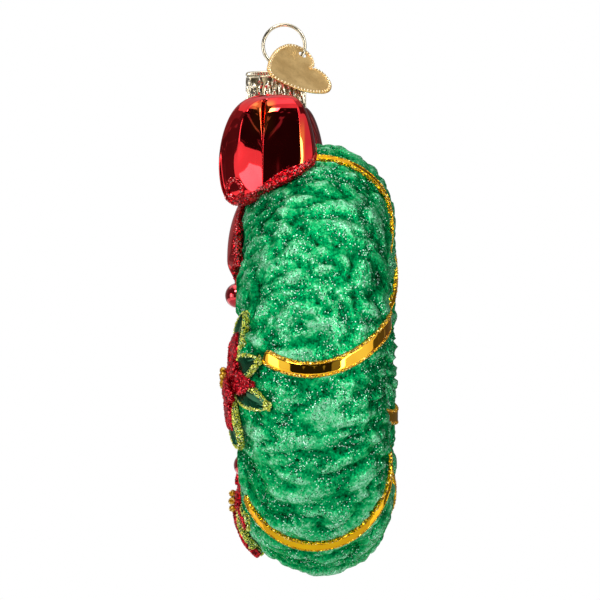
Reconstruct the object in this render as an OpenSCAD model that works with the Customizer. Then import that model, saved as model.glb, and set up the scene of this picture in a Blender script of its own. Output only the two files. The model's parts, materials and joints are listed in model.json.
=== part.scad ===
// Hanging wreath ornament of blown glass, with a metal cap, a wire hanger and a heart-shaped tag.
// Millimetres. The origin is the point inside the top of the wire loop where a hook bears.
// +Z is up and the front of the wreath faces -Y.

/* [Wreath] */
// Radius of the ring's centre line
ring_radius = 30.2; // [29:0.1:34]
// Radius of the ring's round section
tube_radius = 15.8; // [15:0.1:17]
// Thickness of the blown glass
glass_wall = 1; // [0.7:0.1:1.2]

/* [Bow] */
// Width of the bow across both loops
bow_width = 52; // [48:0.5:58]
// Depth of a loop from front to back
bow_depth = 21.4; // [19:0.2:23]
// Height of the loops above the top of the ring
bow_rise = 9.4; // [8.6:0.1:9.8]
// Width of the knot between the loops
knot_width = 14; // [13.8:0.1:16]
// Width of a bow tail
tail_width = 9; // [7:0.5:11]

/* [Cap and hanger] */
// Outside diameter of the glass neck
neck_diameter = 11.6; // [11:0.1:12]
// Distance of the neck in front of the ring's middle plane
neck_offset = 9.3; // [8.5:0.1:10]
// Gap between the neck and the inside of the cap
cap_fit = 0.3; // [0.2:0.05:0.4]
// Height of the cap
cap_height = 7.6; // [7:0.1:9]
// Thickness of the cap's sheet metal
cap_wall = 0.4; // [0.3:0.05:0.5]
// Diameter of the hanger wire
wire_diameter = 0.75; // [0.7:0.05:0.9]
// Outside diameter of the wire loop
loop_diameter = 9.65; // [9.4:0.05:11]
// Distance of the loop's middle behind the cap's axis
loop_lean = 1.7; // [1.5:0.1:1.9]
// How far the hanger slides up before its feet catch the neck
pull_travel = 3; // [2:0.1:3.2]

/* [Tag] */
// Width of the heart across its lobes
tag_width = 14.8; // [14:0.1:15.2]
// Thickness of the tag's sheet metal
tag_sheet = 0.4; // [0.3:0.05:0.5]
// Diameter of the hole that the wire runs through
tag_hole = 1.8; // [1.7:0.05:2]

/* [Decoration] */
// Width of the gold ribbon
ribbon_width = 3.2; // [2.4:0.1:3.6]
// Thickness of the gold ribbon
ribbon_thickness = 0.7; // [0.5:0.1:1]
// Reach of the leaves round a poinsettia
leaf_reach = 14.2; // [12.6:0.1:14.4]
// Reach of a poinsettia's red petals
petal_reach = 11.8; // [10:0.1:12]
// Radius of a berry
berry_radius = 2.6; // [2:0.1:2.8]

/* [Hidden] */
$fn = 96;

// Gap between layers of relief, and the thickness of one layer
layer_gap = 0.18;
layer = 0.45;

// Heights above the middle of the ring
ring_top = ring_radius + tube_radius;
bow_top = ring_top + bow_rise;
knot_top = ring_top + 6;
cap_bottom = knot_top + 1.5;
cap_top = cap_bottom + cap_height;
neck_bottom = knot_top - 1.6;
neck_top = cap_top - cap_wall - 0.1;
loop_centre = cap_top + 0.8 + loop_diameter / 2;
hook_height = loop_centre + loop_diameter / 2 - wire_diameter;

// Sizes that follow from the ones above
neck_radius = neck_diameter / 2;
neck_bore = neck_radius - 0.9;
cap_inside = neck_radius + cap_fit;
cap_outside = cap_inside + cap_wall;
wire_radius = wire_diameter / 2;
loop_radius = loop_diameter / 2 - wire_radius;
slot_offset = 1.6;
foot_reach = neck_bore + 0.4;
foot_height = neck_bottom - pull_travel - 0.2 - wire_diameter;
floor_hole = foot_reach + wire_radius + 0.25;

// Angle on the loop where the tag hangs, and half the angle of the straight piece of wire there
tag_angle = -26;
tag_straight = 10;
hinge_radius = loop_radius * cos(tag_straight);

// Rows of relief round the ring: angle round the ring, slant, start and end round its section
ribbon_wraps = [
    [67.5, -10, 9, 150],
    [-1.9, 18, -37, 225],
    [-58, 9, -68, 220],
    [236, 14, -60, 205],
    [187, 18, -24, 225],
    [126, 18, 12, 220],
];

// Berries on the front: angle round the ring, and how deep each is sunk into it
berry_sunk = 1.4;
berry_places = [[26.6, 0], [-46, berry_sunk], [226, berry_sunk], [153.4, 0]];

// Poinsettias: angles round the ring of the right, bottom and left one
flower_right = -6.6;
flower_bottom = -90;
flower_left = 186.6;

// Directions of a poinsettia's points, and their lengths as shares of the reach
leaf_fan = [[30, 1.2], [67.5, 1], [105, 1.15], [150, 1.15]];
leaf_points = concat(
    leaf_fan,
    [for (i = [len(leaf_fan) - 1 : -1 : 0]) [360 - leaf_fan[i][0], leaf_fan[i][1]]]
);
petal_points = [for (i = [0 : 5]) [30 + 60 * i, 1]];
inner_points = [for (i = [0 : 5]) [60 * i, 1]];

// A point over the ring's surface: angle round the ring, angle round its section, height off it
function on_ring(theta, phi, height) =
    let (out = ring_radius + (tube_radius + height) * cos(phi))
    [out * cos(theta), (tube_radius + height) * sin(phi), out * sin(theta)];

// Degrees that a length along a circle covers
function degrees(length, radius) = length / radius * 180 / PI;

// A point over the front of the ring, from lengths along the ring and across it
function on_front(theta, along, across, height) =
    let (phi = -90 + degrees(across, tube_radius))
    on_ring(theta + degrees(along, ring_radius + tube_radius * cos(phi)), phi, height);

// Moves a point that is too low over the top of the ring straight up, to a height above its surface
function lifted(point, height) =
    let (
        reach = tube_radius + height,
        floor = abs(point.y) >= reach
            ? point.z
            : sqrt(pow(ring_radius + sqrt(reach * reach - point.y * point.y), 2) - point.x * point.x)
    )
    [point.x, point.y, max(point.z, floor)];

function power(value, exponent) = sign(value) * pow(abs(value), exponent);

function middle(points, i = 0) =
    i == len(points) - 1 ? points[i] / len(points) : points[i] / len(points) + middle(points, i + 1);

// A closed solid through a row of rings that all have the same number of points
module ring_stack(rings) {
    count = len(rings[0]);
    last = len(rings) - 1;
    points = [each [for (ring = rings) each ring], middle(rings[0]), middle(rings[last])];
    first_hub = count * (last + 1);
    polyhedron(
        points = points,
        faces = [
            for (r = [0 : last - 1], i = [0 : count - 1])
                let (a = r * count + i, b = r * count + (i + 1) % count)
                each [[a, b + count, b], [a, a + count, b + count]],
            for (i = [0 : count - 1])
                [first_hub, i, (i + 1) % count],
            for (i = [0 : count - 1])
                [first_hub + 1, last * count + (i + 1) % count, last * count + i],
        ],
        convexity = 6
    );
}

// Puts a shape made about the ring's middle into the part's frame
module from_ring_middle() {
    translate([0, neck_offset - loop_lean, -hook_height])
        children();
}

// Puts a shape made about the neck's axis into the part's frame
module from_neck_axis() {
    translate([0, -loop_lean, -hook_height])
        children();
}

module ring_solid(height) {
    rotate([90, 0, 0])
        rotate_extrude()
            translate([ring_radius, 0])
                circle(tube_radius + height);
}

module wreath_glass() {
    color([0.02, 0.42, 0.2])
        from_ring_middle()
            difference() {
                rotate([90, 0, 0])
                    rotate_extrude()
                        translate([ring_radius, 0])
                            difference() {
                                circle(tube_radius);
                                circle(tube_radius - glass_wall);
                            }
                translate([0, -neck_offset, ring_radius])
                    cylinder(r = floor_hole, h = tube_radius + 1);
            }
}

module glass_neck() {
    color([0.8, 0.82, 0.82])
        from_neck_axis()
            translate([0, 0, neck_bottom])
                difference() {
                    cylinder(r = neck_radius, h = neck_top - neck_bottom);
                    translate([0, 0, -1])
                        cylinder(r = neck_bore, h = neck_top - neck_bottom + 2);
                }
}

// One section of a bow loop: how far along it is from the knot (0) to the end (1), and how much to shrink it
function loop_section(t, shrink) =
    let (
        grow = 0.6 + 0.4 * sin(90 * min(1, t / 0.75)),
        soft = t < 0.8 ? 1 : 1 - 0.22 * pow((t - 0.8) / 0.2, 2.4),
        half_depth = bow_depth / 2 * grow * soft - shrink,
        high = bow_top - 3.6 * (1 - sin(90 * min(1, t / 0.7))) - 3 * (1 - soft) / 0.22 - shrink,
        low = ring_radius + 1.8 + 4 * (1 - grow) / 0.4 + 2 * (1 - soft) / 0.22 + shrink,
        half_height = (high - low) / 2,
        x = knot_width / 2 + 0.1 + t * (bow_width / 2 - knot_width / 2 - 0.1)
    )
    [
        for (i = [0 : 31])
            let (
                up = power(sin(i * 360 / 32), 0.55),
                side = power(cos(i * 360 / 32), 0.55) * (0.9 - 0.1 * up),
                y = -neck_offset - 0.3 + half_depth * side
            )
            lifted([x, y, low + half_height * (1 + up)], layer_gap + shrink)
    ];

module bow_loop() {
    steps = [0, 0.12, 0.25, 0.4, 0.55, 0.7, 0.8, 0.88, 0.94, 1];
    inner_steps = [0.95, 0.85, 0.7, 0.55, 0.4, 0.25, 0.12, 0];
    color([0.6, 0.02, 0.04])
        from_ring_middle()
            ring_stack([
                for (t = inner_steps) loop_section(t, glass_wall),
                for (t = steps) loop_section(t, 0),
            ]);
}

module bow_loop_right() {
    bow_loop();
}

module bow_loop_left() {
    mirror([1, 0, 0])
        bow_loop();
}

// A softly rounded block over the top of the ring, smaller by a margin all round
module knot_block(margin) {
    half_depth = bow_depth / 2 - 2 - margin;
    middle_y = -neck_offset - 1.2;
    crown = 22;
    difference() {
        intersection() {
            translate([margin - knot_width / 2, middle_y - half_depth, ring_radius + 5 + margin])
                cube([knot_width - 2 * margin, 2 * half_depth, knot_top]);
            translate([0, middle_y, 0])
                cylinder(r = half_depth + 1.5, h = 2 * knot_top);
            translate([0, knot_width, knot_top - margin - crown])
                rotate([90, 0, 0])
                    cylinder(r = crown, h = 4 * knot_width);
        }
        ring_solid(layer_gap + margin);
    }
}

module bow_knot() {
    color([0.55, 0.02, 0.03])
        from_ring_middle()
            difference() {
                knot_block(0);
                knot_block(glass_wall);
                translate([0, -neck_offset, knot_top - 3.2])
                    cylinder(r = neck_radius + 0.1, h = 6);
                translate([0, -neck_offset, ring_radius])
                    cylinder(r = floor_hole, h = tube_radius + 3);
                translate([-knot_width, -neck_offset, knot_top - 4])
                    rotate([0, 90, 0])
                        cylinder(r = 2, h = 2 * knot_width);
            }
}

// One section of a bow tail, from the knot (0) to its forked end (1)
function tail_section(t) =
    let (
        count = 8,
        half = tail_width / 2 * (0.72 + 0.28 * t),
        phi_drop = 8 * pow(1 - t, 2),
        ripple = 0.35 * sin(560 * t)
    )
    concat(
        [for (i = [count : -1 : 0]) tail_point(t, -1 + 2 * i / count, half, phi_drop, 1.9 + ripple)],
        [for (i = [0 : count]) tail_point(t, -1 + 2 * i / count, half, phi_drop, 0)]
    );

function tail_point(t, v, half, phi_drop, rise) =
    let (
        fork = 5 * max(0, t - 0.8) / 0.2 * (1 - abs(v)),
        theta = 75 - 40.5 * t + fork
    )
    on_front(theta, 0, half * v + phi_drop * tube_radius * PI / 180,
        layer_gap + 0.25 * sign(rise) + rise * (1 - 0.75 * v * v));

module bow_tail() {
    color([0.55, 0.02, 0.03])
        from_ring_middle()
            ring_stack([for (t = [0 : 0.07 : 1]) tail_section(t)]);
}

module bow_tail_right() {
    bow_tail();
}

module bow_tail_left() {
    mirror([1, 0, 0])
        bow_tail();
}

// Angle round the ring of a ribbon, from the angle round the ring's section
function ribbon_theta(wrap, phi) =
    wrap[0] + wrap[1] * (1 - cos(phi));

function ribbon_section(wrap, phi) =
    let (
        theta = ribbon_theta(wrap, phi),
        out = ring_radius + tube_radius * cos(phi),
        slant = out * (ribbon_theta(wrap, phi + 1) - ribbon_theta(wrap, phi - 1)) / 2,
        long = norm([slant, tube_radius]),
        turn = degrees(ribbon_width / 2, out) * tube_radius / long,
        tip = -degrees(ribbon_width / 2, tube_radius) * slant / long
    )
    [
        for (corner = [[-1, 0], [1, 0], [1, 1], [0, 1.25], [-1, 1]])
            on_ring(theta + corner[0] * turn, phi + corner[0] * tip, layer_gap + corner[1] * ribbon_thickness)
    ];

module ribbon(number) {
    wrap = ribbon_wraps[number - 1];
    start = wrap[2];
    end = wrap[3];
    steps = ceil((end - start) / 9);
    color([0.8, 0.55, 0.12])
        from_ring_middle()
            ring_stack([for (i = [0 : steps]) ribbon_section(wrap, start + (end - start) * i / steps)]);
}

module ribbon_wrap_1() {
    ribbon(1);
}

module ribbon_wrap_2() {
    ribbon(2);
}

module ribbon_wrap_3() {
    ribbon(3);
}

module ribbon_wrap_4() {
    ribbon(4);
}

module ribbon_wrap_5() {
    ribbon(5);
}

module ribbon_wrap_6() {
    ribbon(6);
}

// The edge of a star of pointed leaves, or a smaller ring like it, laid over the front of the ring
function star_ring(theta, points, tip, notch, part, height) =
    let (steps = 6)
    [
        for (i = [0 : len(points) - 1], step = [0 : steps - 1])
            let (
                here = points[i],
                next = points[(i + 1) % len(points)],
                share = step / steps,
                angle = here[0] + (next[0] - here[0] + 360) % 360 * share,
                long = tip * (share < 0.5 ? here[1] : next[1]),
                reach = part * (notch + (long - notch) * abs(1 - 2 * share))
            )
            on_front(theta, reach * cos(angle), reach * sin(angle), height)
    ];

// One layer of pointed leaves or petals
module star_layer(theta, points, tip, notch, low) {
    parts = [0.12, 0.4, 0.65, 0.85, 1];
    from_ring_middle()
        ring_stack([
            for (part = parts) star_ring(theta, points, tip, notch, part, low + layer),
            for (i = [len(parts) - 1 : -1 : 0]) star_ring(theta, points, tip, notch, parts[i], low),
        ]);
}

module leaves(theta) {
    color([0.45, 0.6, 0.1])
        star_layer(theta, leaf_points, leaf_reach, 0.4 * leaf_reach, layer_gap);
}

module petals(theta) {
    color([0.7, 0.03, 0.06]) {
        star_layer(theta, petal_points, petal_reach, 0.42 * petal_reach, 2 * layer_gap + layer);
        star_layer(theta, inner_points, 0.64 * petal_reach, 0.28 * petal_reach, 3 * layer_gap + 2 * layer);
    }
}

// Seven round stamens in the middle of a poinsettia
module stamens(theta) {
    ball = 0.72;
    height = 4 * layer_gap + 3 * layer + ball;
    color([0.85, 0.55, 0.12])
        from_ring_middle() {
            translate(on_front(theta, 0, 0, height))
                sphere(ball);
            for (i = [0 : 5])
                translate(on_front(theta, 1.55 * cos(60 * i), 1.55 * sin(60 * i), height))
                    sphere(ball);
        }
}

module leaves_right() {
    leaves(flower_right);
}

module petals_right() {
    petals(flower_right);
}

module stamens_right() {
    stamens(flower_right);
}

module leaves_bottom() {
    leaves(flower_bottom);
}

module petals_bottom() {
    petals(flower_bottom);
}

module stamens_bottom() {
    stamens(flower_bottom);
}

module leaves_left() {
    mirror([1, 0, 0])
        leaves(180 - flower_left);
}

module petals_left() {
    mirror([1, 0, 0])
        petals(180 - flower_left);
}

module stamens_left() {
    mirror([1, 0, 0])
        stamens(180 - flower_left);
}

module berries() {
    color([0.6, 0.02, 0.05])
        from_ring_middle()
            difference() {
                union()
                    for (place = berry_places)
                        translate(on_ring(place[0], -90, -place[1]))
                            sphere(berry_radius);
                ring_solid(layer_gap);
            }
}

module cap() {
    color([0.82, 0.78, 0.68])
        from_neck_axis()
            difference() {
                translate([0, 0, cap_bottom])
                    rotate_extrude()
                        polygon([
                            [0, cap_height - cap_wall],
                            [cap_inside - 0.1, cap_height - cap_wall],
                            [cap_inside, cap_height - cap_wall - 0.1],
                            [cap_inside, 0],
                            [cap_outside, 0],
                            [cap_outside, cap_height - 0.5],
                            [cap_outside - 0.15, cap_height - 0.15],
                            [cap_outside - 0.5, cap_height],
                            [0, cap_height],
                        ]);
                for (side = [-1, 1])
                    translate([0, side * slot_offset, cap_top - 2])
                        cylinder(d = wire_diameter + 0.35, h = 4);
            }
}

// A straight piece of wire between two points of the loop's plane, with a ball at its far end
module wire_run(from, to) {
    step = to - from;
    translate([0, from.x, from.y])
        rotate([-atan2(step.x, step.y), 0, 0])
            cylinder(r = wire_radius, h = norm(step));
    translate([0, to.x, to.y])
        sphere(wire_radius * 1.06);
}

// A curved piece of the loop from one angle to another, with a ball at its far end
module wire_bend(from, to) {
    rotate([90, 0, 90])
        rotate([0, 0, from])
            rotate_extrude(angle = to - from)
                translate([loop_radius, 0])
                    circle(wire_radius);
    translate([0, loop_radius * cos(to), loop_radius * sin(to)])
        sphere(wire_radius * 1.06);
}

module hanger_wire() {
    low = cap_top - loop_centre + 0.45;
    bottom = foot_height + wire_radius - loop_centre;
    front_slot = -loop_lean - slot_offset;
    back_slot = -loop_lean + slot_offset;
    bend_start = tag_angle - tag_straight;
    bend_end = tag_angle + tag_straight;
    bend_stop = loop_radius * [cos(bend_end), sin(bend_end)];
    front_end = 230;
    back_end = -72;
    color([0.86, 0.78, 0.6])
        translate([0, 0, loop_centre - hook_height])
            union() {
                wire_bend(bend_end, front_end);
                wire_run(loop_radius * [cos(front_end), sin(front_end)], [front_slot, low]);
                wire_run([front_slot, low], [front_slot, bottom]);
                wire_run([front_slot, bottom], [-loop_lean - foot_reach, bottom]);
                wire_run(bend_stop, loop_radius * [cos(bend_start), sin(bend_start)]);
                wire_bend(bend_start, back_end);
                wire_run(loop_radius * [cos(back_end), sin(back_end)], [back_slot, low]);
                wire_run([back_slot, low], [back_slot, bottom]);
                wire_run([back_slot, bottom], [-loop_lean + foot_reach, bottom]);
                translate([0, bend_stop.x, bend_stop.y])
                    sphere(wire_radius * 1.06);
            }
}

// Half the outline of a heart, from its notch round a lobe to its tip at -x, for a heart 14.8 wide
function half_heart() =
    let (
        side_start = [-1.9, 7.22],
        side_bulge = [-6.6, 6.7],
        side_end = [-11.1, 1.8]
    )
    concat(
        [[0.45, 0]],
        [for (angle = [-45 : 12 : 100]) [-0.9, 3.4] + 3.95 * [cos(angle), sin(angle)]],
        [
            for (i = [0 : 6])
                let (t = i / 6)
                side_start * pow(1 - t, 2) + side_bulge * 2 * t * (1 - t) + side_end * t * t
        ],
        [[-11.6, 0.9], [-11.75, 0]]
    );

// The whole outline, drawn in towards the heart's middle by a margin
function heart_outline(margin) =
    let (
        half = half_heart(),
        count = len(half),
        heart_middle = [-4, 0],
        whole = concat(half, [for (i = [count - 2 : -1 : 1]) [half[i].x, -half[i].y]])
    )
    [for (p = whole) tag_width / 14.8 * (heart_middle + (p - heart_middle) * (1 - margin / 6.6))];

// The tag lies in its own plane: the way it faces, and its length from the tip to the notch
tag_facing = [0.5855, 0.4684, 0.6616];
tag_along = [-0.7151, 0.6828, 0.1494];
tag_across = cross(tag_facing, tag_along);

module heart_tag() {
    hinge = hinge_radius * [cos(tag_angle), sin(tag_angle)];
    hole_along = 0.95;
    hole_across = 3.9;
    place = [0, hinge.x, loop_centre - hook_height + hinge.y];
    color([0.86, 0.62, 0.2])
        multmatrix([
            [tag_along.x, tag_across.x, tag_facing.x, place.x],
            [tag_along.y, tag_across.y, tag_facing.y, place.y],
            [tag_along.z, tag_across.z, tag_facing.z, place.z],
        ])
            translate([-hole_along, -hole_across, 0])
                difference() {
                    translate([0, 0, -tag_sheet / 2])
                        linear_extrude(tag_sheet)
                            polygon(heart_outline(0));
                    for (side = [-1, 1])
                        translate([0, 0, side * tag_sheet * 0.85 - tag_sheet / 2])
                            linear_extrude(tag_sheet)
                                polygon(heart_outline(0.75));
                    translate([hole_along, hole_across, -2 * tag_sheet])
                        cylinder(d = tag_hole, h = 4 * tag_sheet);
                }
}

wreath_glass();
glass_neck();
bow_knot();
bow_loop_left();
bow_loop_right();
bow_tail_left();
bow_tail_right();
ribbon_wrap_1();
ribbon_wrap_2();
ribbon_wrap_3();
ribbon_wrap_4();
ribbon_wrap_5();
ribbon_wrap_6();
leaves_right();
petals_right();
stamens_right();
leaves_bottom();
petals_bottom();
stamens_bottom();
leaves_left();
petals_left();
stamens_left();
berries();
cap();
hanger_wire();
heart_tag();
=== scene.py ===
"""A hanging wreath of blown glass, with lacquered and glittered relief, a cap, a wire hanger and a tag."""

import json
from collections import namedtuple
from math import atan2, cos, degrees, exp, hypot, pi, radians, sin

import bmesh
import bpy
from mathutils import Matrix, Vector, noise


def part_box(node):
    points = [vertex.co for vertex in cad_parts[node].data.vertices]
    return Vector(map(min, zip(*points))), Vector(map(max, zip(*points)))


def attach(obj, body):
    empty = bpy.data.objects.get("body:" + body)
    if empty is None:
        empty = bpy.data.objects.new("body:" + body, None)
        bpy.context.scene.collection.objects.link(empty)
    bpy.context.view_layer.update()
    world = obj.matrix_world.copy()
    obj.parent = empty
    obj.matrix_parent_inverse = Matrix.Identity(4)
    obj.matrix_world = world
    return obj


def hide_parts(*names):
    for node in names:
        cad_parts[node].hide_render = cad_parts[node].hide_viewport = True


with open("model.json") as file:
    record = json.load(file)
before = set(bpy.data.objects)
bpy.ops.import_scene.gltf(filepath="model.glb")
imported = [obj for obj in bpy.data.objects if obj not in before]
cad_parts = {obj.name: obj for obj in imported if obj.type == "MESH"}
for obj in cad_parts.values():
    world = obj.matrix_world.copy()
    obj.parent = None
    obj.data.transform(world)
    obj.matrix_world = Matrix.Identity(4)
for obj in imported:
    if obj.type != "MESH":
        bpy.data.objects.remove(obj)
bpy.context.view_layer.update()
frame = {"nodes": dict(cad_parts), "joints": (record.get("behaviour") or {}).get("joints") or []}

MM = 0.001

# The ring's place and size come from the glass it replaces
ring_low, ring_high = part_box("wreath_glass")
RING_MIDDLE = (ring_low + ring_high) / 2
TUBE = (ring_high.y - ring_low.y) / 2 / MM
RING = (ring_high.x - ring_low.x) / 2 / MM - TUBE

# Heights above the ring's middle and the cap's size, in millimetres
cap_low, cap_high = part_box("cap")
CAP_BOTTOM = (cap_low.z - RING_MIDDLE.z) / MM
CAP_TOP = (cap_high.z - RING_MIDDLE.z) / MM
CAP_RADIUS = (cap_high.x - cap_low.x) / 2 / MM
NECK_Y = ((cap_low.y + cap_high.y) / 2 - RING_MIDDLE.y) / MM

# The camera stands level with the middle of the picture, a little behind the side
VIEW_MIDDLE = Vector((0.196, 3.43, -58.2)) * MM
VIEW_TURN = radians(92.7)
VIEW_DISTANCE = 0.9
LENS = 253.8
SENSOR = 36


def mode(name):
    bpy.ops.object.mode_set(mode=name)


def pick(piece):
    bpy.ops.object.select_all(action="DESELECT")
    piece.select_set(True)
    bpy.context.view_layer.objects.active = piece


def made(name):
    """The piece that an operator has just made, under its name."""
    piece = bpy.context.object
    piece.name = name
    return piece


def copy_of(piece):
    pick(piece)
    bpy.ops.object.duplicate()
    return bpy.context.object


def add_object(name, data):
    added = bpy.data.objects.new(name, data)
    bpy.context.scene.collection.objects.link(added)
    return added


def apply_modifier(piece, kind, **settings):
    pick(piece)
    modifier = piece.modifiers.new(kind.lower(), kind)
    for key, value in settings.items():
        setattr(modifier, key, value)
    bpy.ops.object.modifier_apply(modifier=modifier.name)


def subdivide(piece, levels):
    apply_modifier(piece, "SUBSURF", levels=levels)


def drill(piece, sides, radius, depth, place=(0, 0, 0)):
    """Cut an upright round hole in a piece, with its sizes in millimetres."""
    bpy.ops.mesh.primitive_cylinder_add(vertices=sides, radius=radius * MM, depth=depth * MM, location=place)
    bit = made("drill")
    apply_modifier(piece, "BOOLEAN", operation="DIFFERENCE", object=bit, solver="EXACT")
    bpy.data.objects.remove(bit)


def shade(piece, angle=None):
    pick(piece)
    if angle is None:
        bpy.ops.object.shade_smooth()
    else:
        bpy.ops.object.shade_smooth_by_angle(angle=radians(angle))


def outward(piece):
    pick(piece)
    mode("EDIT")
    bpy.ops.mesh.select_all(action="SELECT")
    bpy.ops.mesh.normals_make_consistent(inside=False)
    mode("OBJECT")


def thicken(piece, depth):
    """Give a sheet a depth in millimetres, on its inner side, and round it off."""
    apply_modifier(piece, "SOLIDIFY", thickness=depth * MM, offset=-1)
    subdivide(piece, 1)
    outward(piece)


def finish_piece(piece, body, material, replaced=None):
    piece.data.materials.clear()
    piece.data.materials.append(material)
    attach(piece, body)
    if replaced:
        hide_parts(replaced)


def from_ring(point):
    """World place of a point given in millimetres from the ring's middle."""
    return RING_MIDDLE + Vector(point) * MM


def to_ring(place):
    """Millimetres from the ring's middle of a place in the world."""
    return (place - RING_MIDDLE) / MM


def on_ring(theta, phi, height):
    """A point over the ring: degrees round the ring, degrees round its section, height off it."""
    theta = radians(theta)
    phi = radians(phi)
    out = RING + (TUBE + height) * cos(phi)
    return from_ring((out * cos(theta), (TUBE + height) * sin(phi), out * sin(theta)))


def on_front(theta, along, across, height):
    """A point over the front of the ring, from lengths along the ring and across it."""
    phi = -90 + degrees(across / TUBE)
    out = RING + TUBE * cos(radians(phi))
    return on_ring(theta + degrees(along / out), phi, height)


def off_ring(place):
    """Height of a place off the ring's smooth surface, in millimetres."""
    point = to_ring(place)
    return hypot(hypot(point.x, point.z) - RING, point.y) - TUBE


def ramp(value, low, high):
    """A soft step from 0 at low to 1 at high."""
    part = min(1, max(0, (value - low) / (high - low)))
    return part * part * (3 - 2 * part)


def write_attribute(piece, name, values):
    attribute = piece.data.attributes.new(name, "FLOAT", "POINT")
    attribute.data.foreach_set("value", values)


def paint(piece, name, value_at):
    """Write a value for each vertex, by its place."""
    write_attribute(piece, name, [value_at(vertex.co) for vertex in piece.data.vertices])


def rounded(point, digits=6):
    """A point's coordinates as a key that finds it again."""
    return tuple(round(c, digits) for c in point)


def put_in_order(edit):
    """Edges and faces in the order of their corners: extruding leaves them in another order each time."""
    edit.verts.index_update()
    count = len(edit.verts)

    def place(part):
        number = 0
        for corner in sorted(vertex.index for vertex in part.verts)[:3]:
            number = number * count + corner
        return float(number)

    edit.edges.sort(key=place)
    edit.faces.sort(key=place)


def add_ball(name, segments, ring_count, radius):
    bpy.ops.mesh.primitive_uv_sphere_add(segments=segments, ring_count=ring_count, radius=radius)
    ball = made(name)
    mode("EDIT")
    put_in_order(bmesh.from_edit_mesh(ball.data))
    bmesh.update_edit_mesh(ball.data)
    mode("OBJECT")
    return ball


def loft(name, rings):
    """A closed skin through rings of points: a circle of edges extruded from each ring to the next."""
    digits = 7
    bpy.ops.mesh.primitive_circle_add(vertices=len(rings[0]), radius=1)
    piece = made(name)
    mode("EDIT")
    edit = bmesh.from_edit_mesh(piece.data)
    edit.verts.ensure_lookup_table()
    for vertex, point in zip(edit.verts, rings[0]):
        vertex.co = point
    for before, ring in zip(rings, rings[1:]):
        bpy.ops.mesh.extrude_region_move()
        edit = bmesh.from_edit_mesh(piece.data)
        order = {rounded(Vector(point), digits): i for i, point in enumerate(before)}
        for vertex in edit.verts:
            if vertex.select:
                vertex.co = ring[order[rounded(vertex.co, digits)]]
    put_in_order(edit)
    bmesh.update_edit_mesh(piece.data)
    bpy.ops.mesh.select_all(action="SELECT")
    bpy.ops.mesh.fill_holes(sides=0)
    mode("OBJECT")
    outward(piece)
    return piece


def make_sheet(name, columns, rows, tip_from, shape):
    """A grid set out by shape(t, v), from base (0) to tip (1) and across from edge (-1) to edge (1)."""
    bpy.ops.mesh.primitive_grid_add(x_subdivisions=columns, y_subdivisions=rows, size=2)
    sheet = made(name)
    edge = []
    for vertex in sheet.data.vertices:
        t = (vertex.co.x + 1) / 2
        v = vertex.co.y
        edge.append(max(abs(v), ramp(t, tip_from, 1)))
        vertex.co = shape(t, v)
    write_attribute(sheet, "edge", edge)
    return sheet


def mirrored(piece, name):
    copy = copy_of(piece)
    copy.name = name
    copy.data.transform(Matrix.Scale(-1, 4, (1, 0, 0)))
    outward(copy)
    return copy


def join(pieces, name):
    pick(pieces[0])
    for piece in pieces:
        piece.select_set(True)
    bpy.ops.object.join()
    pieces[0].name = name
    return pieces[0]


# Materials


def feed(tree, value, socket):
    """A number, a colour or another node's output into a socket."""
    if isinstance(value, bpy.types.NodeSocket):
        tree.links.new(value, socket)
    elif socket.type == "RGBA":
        socket.default_value = (*value, 1)
    else:
        socket.default_value = value


def add_node(tree, kind, sockets=None, **settings):
    node = tree.nodes.new(kind)
    for key, value in settings.items():
        setattr(node, key, value)
    for key, value in (sockets or {}).items():
        feed(tree, value, node.inputs[key])
    return node


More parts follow.
